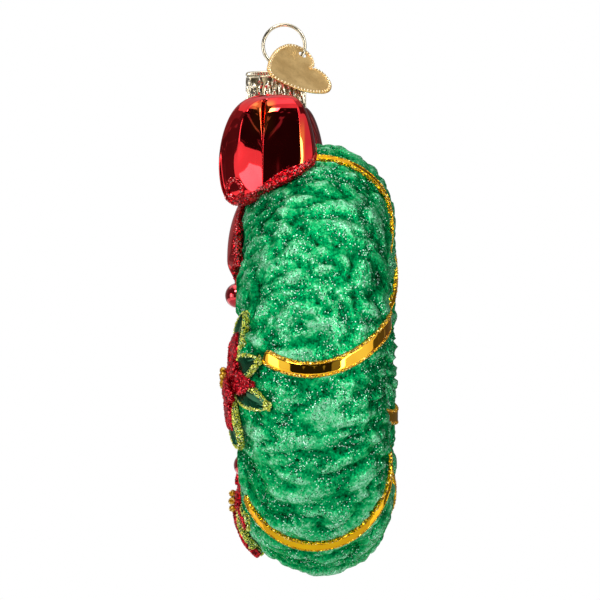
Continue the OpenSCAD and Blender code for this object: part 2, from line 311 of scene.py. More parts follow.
class Finish:
    """A material and the few nodes that most of the finishes here share."""

    def __init__(self, name):
        self.material = bpy.data.materials.new(name)
        self.material.use_nodes = True
        self.tree = self.material.node_tree
        self.shader = self.tree.nodes["Principled BSDF"]
        self.coords = self.node("ShaderNodeTexCoord").outputs["Object"]

    def node(self, kind, sockets=None, **settings):
        return add_node(self.tree, kind, sockets, **settings)

    def set(self, **sockets):
        for name, value in sockets.items():
            label = name.replace("_", " ").title().replace("Ior", "IOR")
            feed(self.tree, value, self.shader.inputs[label])
        return self.material

    def surface(self, source):
        feed(self.tree, source, self.tree.nodes["Material Output"].inputs["Surface"])

    def noise(self, size, detail=3, stretch=(1, 1, 1)):
        """Soft random pattern whose lumps are about this many millimetres."""
        place = self.node("ShaderNodeMapping", {"Vector": self.coords, "Scale": stretch}).outputs["Vector"]
        sockets = {"Vector": place, "Scale": 1 / (size * MM), "Detail": detail}
        return self.node("ShaderNodeTexNoise", sockets).outputs["Fac"]

    def flakes(self, size):
        """Glitter flakes of a size in millimetres: random number, random colour, distance to the middle."""
        cells = self.node("ShaderNodeTexVoronoi", {"Vector": self.coords, "Scale": 1 / (size * MM)}).outputs
        split = self.node("ShaderNodeSeparateColor", {"Color": cells["Color"]})
        return split.outputs["Red"], cells["Color"], cells["Distance"]

    def attribute(self, name):
        return self.node("ShaderNodeAttribute", attribute_name=name).outputs["Fac"]

    def ramp(self, source, stops):
        blend = self.node("ShaderNodeValToRGB", {"Fac": source})
        elements = blend.color_ramp.elements
        elements[0].position, elements[0].color = stops[0][0], (*stops[0][1], 1)
        elements[1].position, elements[1].color = stops[-1][0], (*stops[-1][1], 1)
        for place, colour in stops[1:-1]:
            elements.new(place).color = (*colour, 1)
        return blend.outputs["Color"]

    def between(self, source, low, high, to_low=0, to_high=1):
        """A soft step from one value to another as the source goes from low to high."""
        sockets = {"Value": source, "From Min": low, "From Max": high, "To Min": to_low, "To Max": to_high}
        return self.node("ShaderNodeMapRange", sockets, interpolation_type="SMOOTHSTEP").outputs["Result"]

    def math(self, operation, *values):
        return self.node("ShaderNodeMath", dict(enumerate(values)), operation=operation).outputs["Value"]

    def vector(self, operation, sockets):
        return self.node("ShaderNodeVectorMath", sockets, operation=operation).outputs["Vector"]

    def mix(self, share, first, second):
        """The first colour at a share of 0 and the second at 1. Sockets 6 and 7 are the node's colours."""
        return self.node("ShaderNodeMix", {0: share, 6: first, 7: second}, data_type="RGBA").outputs[2]

    def bump(self, height, depth, strength=1, normal=None):
        sockets = {"Height": height, "Distance": depth * MM, "Strength": strength}
        if normal is not None:
            sockets["Normal"] = normal
        return self.node("ShaderNodeBump", sockets).outputs["Normal"]

    def tilted_flakes(self, flake_colour, share, tilt):
        """Normals that lean at random from flake to flake, where share is above nothing."""
        geometry = self.node("ShaderNodeNewGeometry")
        centred = self.vector("SUBTRACT", {0: flake_colour, 1: (0.5, 0.5, 0.5)})
        scaled = self.vector("SCALE", {0: centred, "Scale": self.math("MULTIPLY", share, tilt)})
        added = self.vector("ADD", {0: geometry.outputs["Normal"], 1: scaled})
        return self.vector("NORMALIZE", {0: added})


def green_finish():
    """Glossy green lacquer: painted shade in the relief's valleys, painted highlight and sheen on its crests,
    and clusters of glitter whose pale and dark flakes are painted glints and painted shade.
    """
    # Ramp colours over the relief: the valley colour is painted shade and the crest colour a painted
    # highlight.
    valley, low = (0.004, 0.016, 0.003), (0.0, 0.12, 0.036)
    middle, crest = (0.0, 0.37, 0.1), (0.02, 0.56, 0.19)
    crest_sheen, glint_speck, shaded_speck = (0.5, 0.84, 0.64), (0.66, 1.0, 0.84), (0.0, 0.01, 0.003)
    finish = Finish("green_lacquer_glitter")
    coarse = finish.noise(4)
    crumb = finish.noise(0.7)
    place = finish.math("ADD", finish.attribute("relief"), finish.math("MULTIPLY_ADD", crumb, 1.1, -0.55))
    base = finish.ramp(place, [(0, valley), (0.2, low), (0.55, middle), (1, crest)])
    number, flake, distance = finish.flakes(0.25)
    # Painted sheen: pale patches on the crests, broken up flake by flake.
    sheen_share = finish.between(finish.math("ADD", place, coarse), 1.1, 1.5)
    sheen_share = finish.math("MULTIPLY", sheen_share, finish.between(number, 0.3, 0.7, 0.1, 0.55))
    base = finish.mix(sheen_share, base, crest_sheen)
    # Glitter specks: the pale ones are painted glints and the dark ones are painted shade.
    speck = finish.between(distance, 0.62, 0.4)
    thick = finish.between(finish.noise(5), 0.36, 0.6)
    pale = finish.between(finish.math("MULTIPLY_ADD", thick, 0.12, number), 0.99, 1.03)
    dark = finish.between(finish.math("MULTIPLY_ADD", thick, -0.16, number), 0.06, 0.02)
    base = finish.mix(finish.math("MULTIPLY", pale, speck), base, glint_speck)
    base = finish.mix(finish.math("MULTIPLY", dark, speck), base, shaded_speck)
    lean = finish.tilted_flakes(flake, finish.between(number, 0.5, 0.9), 0.7)
    return finish.set(
        base_color=base, metallic=0.5, specular_ior_level=0, specular_tint=(0.1, 0.6, 0.3),
        roughness=finish.between(coarse, 0.3, 0.7, 0.2, 0.32),
        normal=finish.bump(crumb, 0.25, 1, lean),
        coat_weight=finish.between(place, 0.4, 0.8, 0, 0.4),
        coat_roughness=0.05,
        coat_normal=finish.bump(crumb, 0.2),
    )


def mirror_finish(name, deep, bright, glitter_shade, glitter_glint, edge_from, coat, graze, metal=1, thin=None):
    """Glossy lacquer over silver, with glitter where the piece's edge attribute is high."""
    finish = Finish(name)
    edge = finish.between(finish.attribute("edge"), edge_from, edge_from + 0.12)
    smear = finish.noise(9)
    gloss = finish.mix(finish.between(smear, 0.35, 0.65), deep, bright)
    # Orange where the lacquer is thin, partly a painted reflection.
    if thin:
        gloss = finish.mix(finish.attribute("thin"), gloss, thin)
    number, flake = finish.flakes(0.3)[:2]
    # Glitter flakes: the palest shade is a painted glint and the darkest is painted shade.
    grains = finish.ramp(number, [(0, glitter_shade), (0.5, deep), (0.85, bright), (1, glitter_glint)])
    rough = finish.between(smear, 0.2, 0.8, 0.03, 0.07)
    return finish.set(
        base_color=finish.mix(edge, gloss, grains),
        metallic=metal,
        specular_tint=graze,
        roughness=finish.math("ADD", rough, finish.math("MULTIPLY", edge, 0.22)),
        normal=finish.tilted_flakes(flake, edge, 1.3),
        coat_weight=coat, coat_roughness=0.03,
    )


def grain_finish(name, dark, middle, pale, glint):
    """Loose glitter: each flake has its own shade of the colour, the dark stop painted shade and the glint
    stop a painted glint.
    """
    finish = Finish(name)
    number = finish.flakes(0.33)[0]
    base = finish.ramp(number, [(0, dark), (0.5, middle), (0.85, pale), (1, glint)])
    rough = finish.between(number, 0, 1, 0.45, 0.2)
    return finish.set(base_color=base, metallic=0.45, specular_tint=pale, roughness=rough)


def smeared_finish(name, first, second, smear_size, detail, smooth, **more):
    """A smooth finish whose colour drifts between two, in smears of a size in millimetres."""
    finish = Finish(name)
    smear = finish.noise(smear_size, detail)
    base = finish.mix(smear, first, second)
    return finish.set(base_color=base, roughness=finish.between(smear, 0.3, 0.7, smooth, 0.12), **more)


def cap_finish():
    low, middle, high, tarnished = (0.26, 0.2, 0.11), (0.7, 0.6, 0.42), (1.0, 0.94, 0.8), (0.3, 0.25, 0.14)
    finish = Finish("cap_pale_gold")
    tarnish = finish.noise(1.6, 4)
    base = finish.ramp(finish.attribute("relief"), [(0, low), (0.35, middle), (1, high)])
    base = finish.mix(finish.between(tarnish, 0.5, 0.8, 0, 0.45), base, tarnished)
    rough = finish.between(tarnish, 0.3, 0.7, 0.2, 0.34)
    return finish.set(
        base_color=base, metallic=1, roughness=rough, normal=finish.bump(finish.noise(0.5), 0.03, 0.5)
    )


def wire_finish():
    finish = Finish("wire_pale_gold")
    wear = finish.noise(1.2)
    base = finish.mix(finish.between(wear, 0.35, 0.7), (0.74, 0.66, 0.5), (0.56, 0.48, 0.33))
    rough = finish.between(wear, 0.3, 0.7, 0.14, 0.28)
    return finish.set(
        base_color=base, metallic=1, roughness=rough, normal=finish.bump(finish.noise(0.3, 2), 0.01, 0.4)
    )


def tag_finish(name, dark, pale):
    finish = Finish(name)
    brushed = finish.noise(0.28, 2, (1, 6, 1))
    base = finish.mix(finish.between(finish.noise(3, 4), 0.35, 0.7), dark, pale)
    rough = finish.between(brushed, 0.3, 0.7, 0.26, 0.42)
    return finish.set(base_color=base, metallic=1, roughness=rough, normal=finish.bump(brushed, 0.012, 0.5))


GREEN = green_finish()
RED = mirror_finish(
    "red_lacquer_mirror", deep=(0.58, 0.004, 0.01), bright=(0.84, 0.014, 0.02), glitter_shade=(0.05, 0, 0),
    glitter_glint=(1, 0.24, 0.24), edge_from=0.7, coat=0.45, graze=(0.7, 0.1, 0.12), thin=(0.95, 0.2, 0.02),
)
GOLD_EDGE = {"glitter_shade": (0.16, 0.06, 0), "glitter_glint": (1, 0.8, 0.3), "edge_from": 0.62}
GOLD = mirror_finish(
    "gold_lacquer_mirror", deep=(0.86, 0.4, 0.006), bright=(0.95, 0.54, 0.025),
    coat=0.4, graze=(0.95, 0.66, 0.12), **GOLD_EDGE,
)
GOLD_DEEP = mirror_finish(
    "gold_lacquer_deep", deep=(0.84, 0.46, 0.004), bright=(0.95, 0.6, 0.012),
    coat=0.12, graze=(0.95, 0.62, 0.04), **GOLD_EDGE,
)
PETAL = mirror_finish(
    "petal_lacquer_glitter", deep=(0.38, 0.001, 0.008), bright=(0.72, 0.008, 0.02),
    glitter_shade=(0.06, 0, 0.003), glitter_glint=(0.9, 0.1, 0.12), edge_from=0.0, coat=0.12,
    graze=(0.75, 0.05, 0.08), metal=0.6,
)
LEAF = mirror_finish(
    "leaf_lacquer_glitter", deep=(0.002, 0.07, 0.026), bright=(0.012, 0.24, 0.1),
    glitter_shade=(0.1, 0.14, 0.0), glitter_glint=(0.9, 0.95, 0.3), edge_from=0.55, coat=0.45,
    graze=(0.1, 0.5, 0.3), metal=0.85,
)
RED_GRAINS = grain_finish(
    "red_glitter_grains", (0.1, 0, 0.001), (0.4, 0.003, 0.01), (0.8, 0.03, 0.04), (1, 0.5, 0.45)
)
GOLD_GRAINS = grain_finish(
    "gold_glitter_grains", (0.2, 0.08, 0.002), (0.5, 0.26, 0.01), (0.85, 0.55, 0.06), (1, 0.85, 0.4)
)
LIME_GRAINS = grain_finish(
    "lime_glitter_grains", (0.26, 0.3, 0.008), (0.7, 0.72, 0.08), (0.95, 0.95, 0.26), (1, 1, 0.7)
)
BERRY = smeared_finish(
    "berry_lacquer_red", (0.4, 0.0, 0.008), (0.7, 0.012, 0.02), 2.5, 2, 0.05,
    metallic=0.9, coat_weight=1, coat_roughness=0.02,
)
GLASS = smeared_finish("silvered_glass_clear", (0.72, 0.74, 0.74), (0.86, 0.87, 0.86), 3, 3, 0.04, metallic=1)
CAP = cap_finish()
WIRE = wire_finish()
# One brass in two copies: the plate darkened as painted shade, the rope kept pale as a painted highlight.
SHADED_TAG = tag_finish("tag_brass_painted_shade", (0.6, 0.38, 0.14), (0.78, 0.53, 0.22))
LIT_TAG_ROPE = tag_finish("tag_rope_painted_highlight", (0.92, 0.72, 0.4), (1.0, 0.9, 0.66))


# Glitter that stands off a surface


def glitter_group(name, material, per_mm2, size, seed, edge_above):
    """Nodes that leave only small eight-sided grains, strewn over a mesh."""
    group = bpy.data.node_groups.new(name, "GeometryNodeTree")
    for way in ("INPUT", "OUTPUT"):
        group.interface.new_socket("Geometry", in_out=way, socket_type="NodeSocketGeometry")

    def node(kind, sockets=None, **settings):
        return add_node(group, kind, sockets, **settings).outputs

    def random_vector(low, high, own_seed):
        sockets = {"Min": low, "Max": high, "Seed": own_seed}
        return node("FunctionNodeRandomValue", sockets, data_type="FLOAT_VECTOR")["Value"]

    surface = node("NodeGroupInput")[0]
    density = per_mm2 / MM**2
    if edge_above is not None:
        edge = node("GeometryNodeInputNamedAttribute", {"Name": "edge"}, data_type="FLOAT")["Attribute"]
        high = node("ShaderNodeMath", {0: edge, 1: edge_above}, operation="GREATER_THAN")[0]
        density = node("ShaderNodeMath", {0: high, 1: density}, operation="MULTIPLY")[0]
    sockets = {"Mesh": surface, "Density": density, "Seed": seed}
    points = node("GeometryNodeDistributePointsOnFaces", sockets)["Points"]
    grain = node("GeometryNodeMeshUVSphere", {"Segments": 4, "Rings": 2, "Radius": size * MM})["Mesh"]
    turn = random_vector((0, 0, 0), (2 * pi,) * 3, seed + 1)
    grow = random_vector((0.6, 0.6, 0.3), (1.3, 1.3, 0.7), seed + 2)
    sockets = {"Points": points, "Instance": grain, "Rotation": turn, "Scale": grow}
    placed = node("GeometryNodeInstanceOnPoints", sockets)["Instances"]
    real = node("GeometryNodeRealizeInstances", {"Geometry": placed})["Geometry"]
    finished = node("GeometryNodeSetMaterial", {"Geometry": real, "Material": material})["Geometry"]
    node("NodeGroupOutput", {0: finished})
    return group


def strew_glitter(name, carrier, slot, material, per_mm2, size, seed, edge_above=None):
    """A layer of glitter grains over a piece, or over the part of it where its edge attribute is high."""
    grains = add_object(name, carrier.data.copy())
    group = glitter_group(name, material, per_mm2, size, seed, edge_above)
    apply_modifier(grains, "NODES", node_group=group)
    finish_piece(grains, "glass", material)


# The wreath: a ring with shallow moulded needles, flatter where berries and flowers sit

BERRIES = (26.6, -46, 226, 153.4)
FLOWERS = {"right": -6.6, "bottom": -90}
BERRY_PAD = 3.4
FLOWER_PAD = 9
PAD_FADE = 2
PADS = [(theta, BERRY_PAD) for theta in BERRIES]
PADS += [(theta, FLOWER_PAD) for theta in (*FLOWERS.values(), 180 - FLOWERS["right"])]
PADS = [(to_ring(on_ring(theta, -90, 0)), size) for theta, size in PADS]

RELIEF_SEED = 23
# Height of the crests off the ring, depth of the valleys under them, and where a ribbon lies between them
RELIEF_CREST = 0.35
RELIEF_DEPTH = 2.1
RIBBON_SEAT = 0.64
SEAT_FADE = 0.8


def needle_height(theta, phi):
    """Height of the moulded needles, from 0 in a valley to 1 on a crest."""
    ring, tube = 10.6, 1.75
    reach = ring + tube * cos(phi)
    place = Vector((reach * cos(theta), reach * sin(theta), tube * sin(phi)))
    place *= 1.08 + 0.08 * sin(theta)
    sway = noise.noise_vector(place * 0.45) * 0.5
    large = min(1, abs(noise.noise(place * 1.1 + sway)) * 2.4)
    small = min(1, abs(noise.noise(place * 2.4 + sway * 2 + Vector((7, 3, 1)))) * 2.4)
    swell = 0.5 + 0.5 * noise.noise(place * 0.6 + Vector((2, 9, 4)))
    return 0.6 * large + 0.26 * small + 0.14 * swell


def pad(point):
    """1 under a piece that sits on the wreath, where the needles flatten out, and 0 clear of it."""
    return max(1 - ramp((point - spot).length, size, size + PAD_FADE) for spot, size in PADS)


def ribbon_seat(theta, phi):
    """1 under a ribbon, which lies in a shallow seat, and 0 clear of it."""
    near = 0
    out = RING + TUBE * cos(radians(phi))
    for wrap in RIBBON_WRAPS:
        past_start = (phi - wrap.start) % 360
        if past_start > wrap.end - wrap.start:
            continue
        round_phi = wrap.start + past_start
        slant = ribbon_slant(wrap, round_phi, out)
        turn = (theta - ribbon_angle(wrap, round_phi) + 180) % 360 - 180
        apart = abs(radians(turn) * out) * TUBE / hypot(slant, TUBE)
        near = max(near, 1 - ramp(apart, wrap.width / 2, wrap.width / 2 + SEAT_FADE))
    return near


def make_wreath():
    bpy.ops.mesh.primitive_torus_add(
        location=RING_MIDDLE, rotation=(pi / 2, 0, 0), major_segments=456, minor_segments=204,
        major_radius=RING * MM, minor_radius=TUBE * MM,
    )
    wreath = made("wreath")
    bpy.ops.object.transform_apply()
    heights = []
    noise.seed_set(RELIEF_SEED)
    for vertex in wreath.data.vertices:
        point = to_ring(vertex.co)
        theta = atan2(point.z, point.x)
        phi = atan2(point.y, hypot(point.x, point.z) - RING)
        height = needle_height(theta, phi)
        heights.append(height)
        height += (1 - height) * pad(point)
        theta = degrees(theta)
        phi = degrees(phi)
        height += (RIBBON_SEAT - height) * ribbon_seat(theta, phi)
        vertex.co = on_ring(theta, phi, RELIEF_CREST - RELIEF_DEPTH * (1 - height))
    # The relief also sets the green's painted shade in the valleys and its painted highlight on the crests.
    write_attribute(wreath, "relief", heights)
    shade(wreath)
    finish_piece(wreath, "glass", GREEN, "wreath_glass")


# The gold ribbon

# Place round the ring, slant, start and end round its section, and bend, in degrees, and width in millimetres
Wrap = namedtuple("Wrap", "angle slant start end bend width")

RIBBON_WIDTH = 3.3
TOP_RIBBON_WIDTH = 2.5
RIBBON_WRAPS = [
    Wrap(67, 6.5, -6, 150, -30, TOP_RIBBON_WIDTH),
    Wrap(-1.9, 18, -37, 225, 0, RIBBON_WIDTH),
    Wrap(-56.8, 9, -68, 220, 0, RIBBON_WIDTH),
    Wrap(236, 14, -60, 205, 0, RIBBON_WIDTH),
    Wrap(187, 18, -24, 225, 0, RIBBON_WIDTH),
    Wrap(126, 18, 12, 220, 0, TOP_RIBBON_WIDTH),
]
RIBBON_STEP = 4
# Ribbons with a deeper coat of lacquer
DEEP_RIBBONS = (1, 3, 4, 6)
# Across half the ribbon: place from the middle to the edge, and height off the ring
RIBBON_HALF = [
    (0, 0.24), (0.3, 0.24), (0.5, 0.24), (0.6, 0.22), (0.66, 0.12), (0.74, 0.3), (0.88, 0.3), (0.98, 0),
    (1, -1.1),
]
RIBBON_PROFILE = [(-v, h) for v, h in reversed(RIBBON_HALF)] + RIBBON_HALF[1:]


def ribbon_angle(wrap, phi):
    return wrap.angle + wrap.slant * (1 - cos(radians(phi))) + wrap.bend * ramp(phi, 60, 150)


def ribbon_slant(wrap, phi, out):
    return out * (ribbon_angle(wrap, phi + 1) - ribbon_angle(wrap, phi - 1)) / 2


def ribbon_ring(wrap, phi):
    out = RING + TUBE * cos(radians(phi))
    slant = ribbon_slant(wrap, phi, out)
    long = hypot(slant, TUBE)
    turn = degrees(wrap.width / 2 / out) * TUBE / long
    tip = -degrees(wrap.width / 2 / TUBE) * slant / long
    theta = ribbon_angle(wrap, phi)
    return [on_ring(theta + v * turn, phi + v * tip, h) for v, h in RIBBON_PROFILE]


def make_ribbon(number, wrap):
    steps = round((wrap.end - wrap.start) / RIBBON_STEP)
    rings = [ribbon_ring(wrap, wrap.start + (wrap.end - wrap.start) * i / steps) for i in range(steps + 1)]
    ribbon = loft(f"ribbon_{number}", rings)
    places = {rounded(point): abs(v) for ring in rings for point, (v, h) in zip(ring, RIBBON_PROFILE)}
    paint(ribbon, "edge", lambda point: places[rounded(point)])
    subdivide(ribbon, 1)
    shade(ribbon)
    lacquer = GOLD_DEEP if number in DEEP_RIBBONS else GOLD
    finish_piece(ribbon, "glass", lacquer, f"ribbon_wrap_{number}")
    strew_glitter(
        f"ribbon_glitter_{number}", ribbon, "gold_lacquer", GOLD_GRAINS,
        per_mm2=9, size=0.17, seed=40 + number, edge_above=0.7,
    )


# The bow: outline of a loop seen from its end, and of the flat panel on that end, as places behind
# and above the ring's middle, from the fold at the top round the back, the bottom and the front

LOOP_OUTLINE = [
    (-10.7, 55.4), (-7, 55.5), (-4.0, 55.1), (-2.2, 53.2), (-0.7, 49.2), (0.1, 45), (0.5, 41), (-2.5, 38.6),
    (-6.5, 36.4), (-10.7, 34.2), (-14.2, 32.2), (-17.6, 32.0), (-19.8, 34.6), (-20.5, 40.5), (-19.9, 46),
    (-18.2, 51), (-15.8, 53.9), (-13.2, 55.1),
]
PANEL_OUTLINE = [
    (-10.7, 54.4), (-7.5, 54.5), (-4.2, 54.2), (-3.4, 52.3), (-3.1, 48.5), (-3.0, 44), (-3.0, 39.4),
    (-4.8, 38), (-7.5, 36.6), (-10.7, 35.4), (-12.8, 34.8), (-14.2, 35.8), (-15.6, 38.4), (-15.9, 41.5),
    (-15.5, 45.8), (-15.1, 49.8), (-13.8, 52.2), (-12.4, 53.5),
]
# Which points of the outlines are the ends of the fold
FOLD_TOP = 0
FOLD_BOTTOM = 9
FOLD_Y = -10.7
LOOP_MIDDLE = (-9.6, 44.5)
PANEL_REACH = 25.7
# Rings of a loop from the knot outward, as its three functions for rings take them
LOOP_ROWS = [(5.9, 0.54, -1), (7.2, 0.6, -1), (10, 0.78, -0.4), (13.5, 0.92, 0), (17, 0.985, 0), (20.8, 1, 0)]
EDGE_ROWS = [
    ((0.1, 2.5), (0.12, 3.5)), ((0.2, 1.65), (0.3, 2.6)), ((0.24, 1.5), (0.36, 2.3)),
    ((0.74, 0.38), (0.72, 0.9)), ((0.77, 0.315), (0.755, 0.75)), ((0.8, 0.26), (0.8, 0.6)),
    ((0.96, 0.04), (0.95, 0.1)), ((0.985, 0.01), (0.985, 0.02)),
]
PANEL_ROWS = [(0.06, 1, 0), (0.5, 1, 0), (0.9, 1, 0), (1, 0.93, 0.1), (1, 0.33, 1)]

# The dished boss low on the front of a loop: where it is, and its radius and height from rim to bottom
DIMPLE_Y = -16.7
DIMPLE_Z = 35.6
DIMPLE_PROFILE = [(2.6, -0.9), (2.55, 0.1), (2.2, 0.6), (1.8, 0.45), (1.4, -0.1), (0.7, -0.4)]
DIMPLE_SIDES = 24


def panel_x(y, z):
    """How far the end panel stands out: two halves that meet in a fold, pinched at the top."""
    front = max(0, FOLD_Y - y)
    back = max(0, y - FOLD_Y)
    low = 1 - ramp(z, 38, 47)
    high = ramp(z, 51.8, 54.8)
    pinch = ramp(z, 46, 53.5) * max(0, 1 - abs(y - FOLD_Y) / 2.6)
    flat = PANEL_REACH - front * (0.05 + 0.46 * low) - 0.008 * (front**2 + back**2)
    return flat - 1.9 * high - 1.0 * pinch


def fold_depth(z):
    return 0.02 + 1.2 * ramp(z, 47.5, 51)


def fold_gap(z):
    """The fold is a crease low down, and opens towards its pinched top."""
    return 0.05 + 0.25 * ramp(z, 45, 48)


def loop_ring(x, size, lift):
    """A ring of the loop's outline, shrunk towards its middle."""
    mid_y, mid_z = LOOP_MIDDLE
    return [(x, mid_y + (y - mid_y) * size, mid_z + (z - mid_z) * size + lift) for y, z in LOOP_OUTLINE]


def edge_ring(rear, front):
    """A ring near the panel's edge: share and drop back from it, behind the fold and in front of it."""
    points = []
    for panel, outer in zip(PANEL_OUTLINE, LOOP_OUTLINE):
        behind = ramp(panel[0], -13, -7)
        share, drop = (a * behind + b * (1 - behind) for a, b in zip(rear, front))
        y, z = (a + (b - a) * share for a, b in zip(outer, panel))
        points.append((panel_x(*panel) - drop, y, z))
    return points


def panel_ring(share, open_share, deep):
    """A ring on the end panel between its edge (0) and the fold (1)."""
    top = PANEL_OUTLINE[FOLD_TOP][1]
    bottom = PANEL_OUTLINE[FOLD_BOTTOM][1]
    points = []
    for i, (y, z) in enumerate(PANEL_OUTLINE):
        side = 0 if i in (FOLD_TOP, FOLD_BOTTOM) else (1 if i < FOLD_BOTTOM else -1)
        fold_z = min(top - 0.6, max(bottom + 0.6, z)) if side else z + (-0.3 if i == FOLD_TOP else 0.3)
        z = z + (fold_z - z) * share
        y = y + (FOLD_Y + side * open_share * fold_gap(z) - y) * share
        points.append((panel_x(y, z) - deep * fold_depth(z), y, z))
    return points


def thin_lacquer_and_reflection(place):
    """Orange where the lacquer is thin, partly a painted reflection: beside the pinched top of the fold, and
    along the panel's rear corner.
    """
    point = to_ring(place)
    beside = 1 - ramp(abs(point.y - FOLD_Y), 1.6, 3)
    fold = 0.6 * beside * ramp(point.z, 46, 49) * (1 - ramp(point.z, 53, 54.5)) * ramp(point.x, 20, 23)
    corner = (1 - ramp(abs(point.y + 2.6), 0.3, 0.7)) * ramp(point.x, 23.5, 24.5)
    return max(fold, 0.7 * (corner * (1 - ramp(point.z, 46, 51))))


def loop_glitter(place):
    """1 where a loop is glittered: next to the ring, and low on its front."""
    point = to_ring(place)
    lip = (1 - ramp(point.z, 33.6, 34.8)) * (1 - ramp(point.y, -15, -12))
    return max(lip, 1 - ramp(off_ring(place), 1.8, 2.9))


def dress_red(piece, replaced, layer, **glitter):
    finish_piece(piece, "glass", RED, replaced)
    strew_glitter(layer, piece, "red_lacquer", RED_GRAINS, **glitter)


def make_bow_loops():
    rings = [loop_ring(*row) for row in LOOP_ROWS]
    rings += [edge_ring(*row) for row in EDGE_ROWS]
    rings += [panel_ring(*row) for row in PANEL_ROWS]
    right = loft("bow_loop_right_glass", [[from_ring(p) for p in ring] for ring in rings])
    subdivide(right, 3)
    paint(right, "edge", loop_glitter)
    paint(right, "thin", thin_lacquer_and_reflection)
    shade(right)
    left = mirrored(right, "bow_loop_left_glass")
    dimple = make_dimple(right)
    dimples = {"right": dimple, "left": mirrored(dimple, "bow_dimple_left")}
    for piece, side, seed in ((right, "right", 60), (left, "left", 64)):
        dress_red(
            piece, f"bow_loop_{side}", f"bow_glitter_{side}", per_mm2=7, size=0.2, seed=seed, edge_above=0.6
        )
        dress_red(
            dimples[side], None, f"dimple_glitter_{side}", per_mm2=12, size=0.2, seed=seed + 2, edge_above=0.5
        )


def make_dimple(carrier):
    """A small dished boss with a glittered rim, set where a level ray from the side meets the loop."""
    start = from_ring((40, DIMPLE_Y, DIMPLE_Z))
    place, normal = carrier.ray_cast(start, Vector((-1, 0, 0)))[1:3]
    turns = [radians(360 / DIMPLE_SIDES * i) for i in range(DIMPLE_SIDES)]
    rings = []
    for radius, height in DIMPLE_PROFILE:
        rings.append([Vector((radius * cos(a), radius * sin(a), height)) * MM for a in turns])
    dimple = loft("bow_dimple_right", rings)
    paint(dimple, "edge", lambda point: ramp(point.xy.length / MM, 1.35, 1.85))
    subdivide(dimple, 1)
    shade(dimple)
    turn = normal.to_track_quat("Z", "Y").to_matrix().to_4x4()
    dimple.data.transform(Matrix.Translation(place) @ turn)
    return dimple


def make_bow_knot():
    low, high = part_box("bow_knot")
    middle = (low + high) / 2
    half = (high - low) / 2
    bpy.ops.mesh.primitive_cube_add(size=2, location=middle, scale=half)
    knot = made("bow_knot_glass")
    bpy.ops.object.transform_apply()
    mode("EDIT")
    bpy.ops.mesh.select_all(action="SELECT")
    bpy.ops.mesh.subdivide(number_cuts=7)
    mode("OBJECT")
    for vertex in knot.data.vertices:
        x, y, z = ((place - centre) / reach for place, centre, reach in zip(vertex.co, middle, half))
        waist = 0.93 + 0.07 * z * z
        round_off = 1 - 0.12 * x * x
        pleat = 0.035 * cos(3 * pi * x)
        vertex.co.x = middle.x + half.x * x * waist * (1 - 0.1 * y * y)
        vertex.co.y = middle.y + half.y * y * (round_off - 0.06 * z * z + (pleat if y < 0 else 0))
        vertex.co.z = middle.z + half.z * z * (1 - 0.1 * x * x - 0.08 * y * y)
    subdivide(knot, 2)
    paint(knot, "edge", lambda point: 1 - ramp(off_ring(point), 1.2, 2.2))
    shade(knot)
    dress_red(knot, "bow_knot", "knot_glitter", per_mm2=7, size=0.2, seed=70, edge_above=0.6)


def tail_point(t, v):
    """A point of a bow tail, from the knot (0) to its forked end (1), and from edge (-1) to edge (1)."""
    half = 4.5 * (0.72 + 0.28 * t)
    drop = 8 * (1 - t) ** 2
    rise = 1.2 + 1.1 * sin(pi * t / 1.25) - 0.7 * ramp(t, 0.82, 1)
    fork = 5 * max(0, t - 0.8) / 0.2 * (1 - abs(v))
    theta = 75 - 40.5 * t + fork
    across = half * v + radians(drop) * TUBE
    return on_front(theta, 0, across, 0.3 + rise * (1 - 0.75 * v * v))


def make_bow_tails():
    right = make_sheet("bow_tail_right_glass", 30, 14, 0.86, tail_point)
    thicken(right, 1.8)
    shade(right)
    left = mirrored(right, "bow_tail_left_glass")
    for piece, side, seed in ((right, "right", 74), (left, "left", 78)):
        layer = f"tail_glitter_{side}"
        dress_red(piece, f"bow_tail_{side}", layer, per_mm2=5, size=0.19, seed=seed, edge_above=0.72)


# Poinsettias: leaves and petals modelled flat, then laid over the front of the ring.
# Points are directions round the flower, and lengths as shares of a blade's length.

LEAF_FAN = [(30, 1.2), (67.5, 1), (105, 1.15), (150, 1.15)]
LEAF_POINTS = LEAF_FAN + [(360 - turn, share) for turn, share in LEAF_FAN]
PETAL_POINTS = [(30 + 60 * i, 1) for i in range(6)]
INNER_POINTS = [(60 * i, 1) for i in range(6)]
# Leaves of the bottom flower are shorter
BOTTOM_REACH = 0.76
FLOWER_SEEDS = {"right": 90, "bottom": 100, "left": 110}
BOSS_RADIUS = 3.4


def make_blade(name, length, width, base, low, rise, fold):
    """A pointed leaf or petal lying flat: along x from its base to its tip, with a fold down its middle."""

    def point(t, v):
        wide = width / 2 * sin(pi * (0.16 + 0.84 * t)) ** 0.75
        wave = 0.12 * sin(9 * t) * v
        arch = sin(pi * min(1, 0.2 + 0.8 * t)) * (1 - 0.6 * v * v)
        crown = rise * arch - fold * (1 - abs(v)) ** 3
        return base + t * length, v * wide, low + crown + wave

    return make_sheet(name, 14, 8, 0.8, point)


def lay_round(name, blade, theta, points, depth):
    """Copies of a flat blade set round a flower's middle and laid over the front of the ring."""
    copies = []
    for turn, share in points:
        copy = copy_of(blade)
        angle = radians(turn)
        for vertex in copy.data.vertices:
            x, y, z = vertex.co
            along = x * share * cos(angle) - y * sin(angle)
            across = x * share * sin(angle) + y * cos(angle)
            vertex.co = on_front(theta, along, across, z)
        outward(copy)
        thicken(copy, depth)
        copies.append(copy)
    piece = join(copies, name)
    shade(piece)
    return piece


def make_boss(name, theta):
    """The low dome in the middle of a flower, under its stamens."""
    boss = add_ball(name, 24, 12, 1)
    for vertex in boss.data.vertices:
        x, y, z = vertex.co
        vertex.co = on_front(theta, BOSS_RADIUS * x, BOSS_RADIUS * y, 0.9 + 1.5 * z)
    paint(boss, "edge", lambda point: 1.0)
    outward(boss)
    shade(boss)
    return boss


